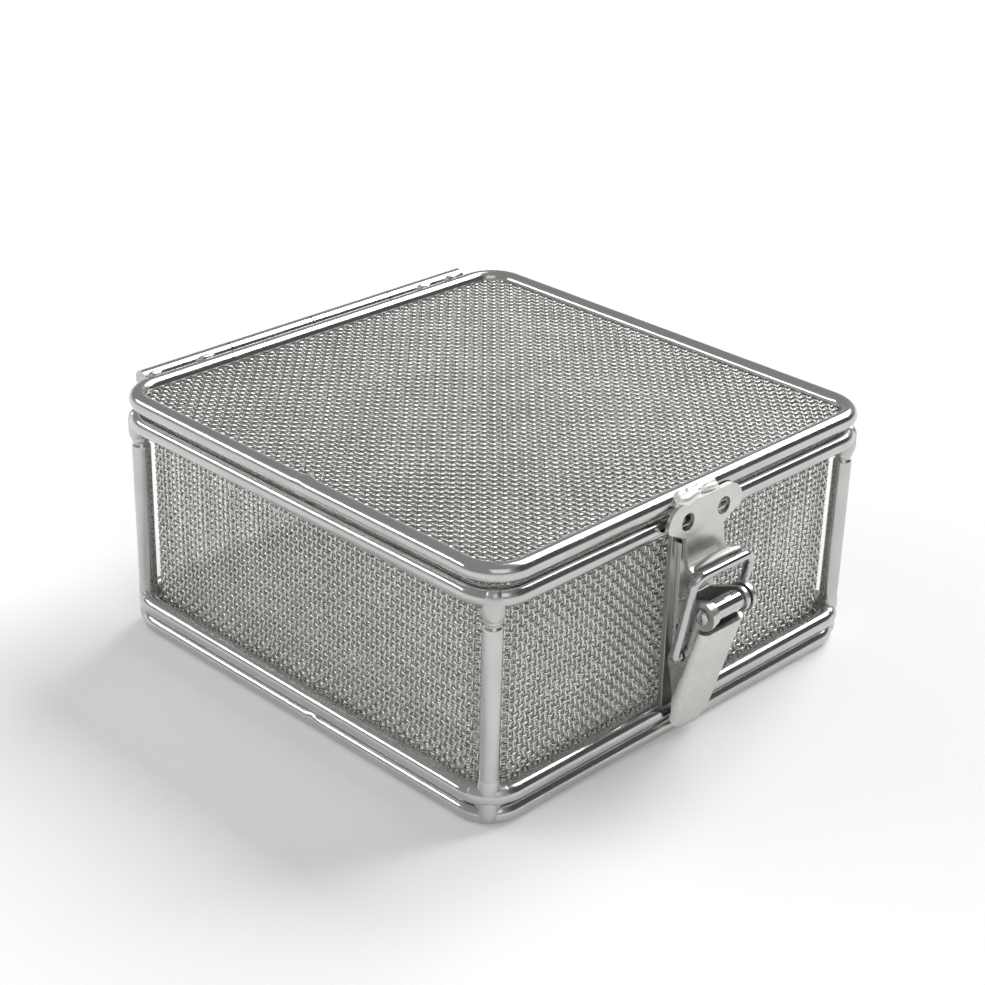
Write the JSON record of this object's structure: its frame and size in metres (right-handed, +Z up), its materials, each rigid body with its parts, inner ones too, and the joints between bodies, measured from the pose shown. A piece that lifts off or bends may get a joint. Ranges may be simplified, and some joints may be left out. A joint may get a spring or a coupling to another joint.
{
  "type": "autoclave basket",
  "caption": "Square lidded basket of steel rod and woven wire cloth, with a rear hinge and a front toggle latch, for holding small parts in a steam sterilizer.",
  "frame": {"origin": "middle of the basket's plan, on the plane it stands on", "axes": "+Z up; the latch faces -Y and the hinge is at +Y"},
  "size_m": [0.14, 0.1584, 0.0696],
  "materials": {
    "rod_steel": "electropolished round rod",
    "wire_cloth": "woven wire cloth",
    "weld_bead": "bright weld beads",
    "strip_steel": "plain rolled strip",
    "latch_sheet": "tumbled sheet steel",
    "polished_steel": "drawn wire and turned pins"
  },
  "bodies": {
    "basket": {"foot_ring": "rod_steel", "bottom_ring": "rod_steel", "top_ring": "rod_steel", "post_front_left": "rod_steel", "post_front_right": "rod_steel", "post_rear_left": "rod_steel", "post_rear_right": "rod_steel", "corner_welds": "weld_bead", "wall_mesh": "wire_cloth", "floor_mesh": "wire_cloth", "hinge_leaf_left": "rod_steel", "hinge_leaf_right": "rod_steel", "hinge_knuckle_left": "rod_steel", "hinge_knuckle_right": "rod_steel", "hinge_pin": "polished_steel", "latch_back_plate": "strip_steel", "latch_base": "latch_sheet", "latch_spacer": "polished_steel", "latch_pivot_pin": "polished_steel"},
    "lid": {"lid_ring": "rod_steel", "lid_mesh": "wire_cloth", "lid_knuckle_left": "rod_steel", "lid_knuckle_right": "rod_steel", "lid_knuckle_welds": "weld_bead", "catch_plate": "latch_sheet", "catch_weld": "weld_bead"},
    "lever": {"latch_lever": "latch_sheet"},
    "bail": {"latch_bail": "polished_steel"}
  },
  "joints": [
    {"name": "lid_hinge", "type": "hinge", "parent": "basket", "child": "lid", "pos_m": [0, 0.0729, 0.0668], "axis": [-1, 0, 0], "range_deg": [0, 180]},
    {"name": "lever_pivot", "type": "hinge", "parent": "basket", "child": "lever", "pos_m": [0, -0.0792, 0.0397], "axis": [-1, 0, 0], "range_deg": [0, 150]},
    {"name": "bail_pivot", "type": "hinge", "parent": "lever", "child": "bail", "pos_m": [0, -0.07357, 0.02666], "axis": [-1, 0, 0], "range_deg": [-150, 0]}
  ],
  "couplings": [
    {"joint": "bail_pivot", "follows": "lever_pivot", "ratio": -1}
  ]
}
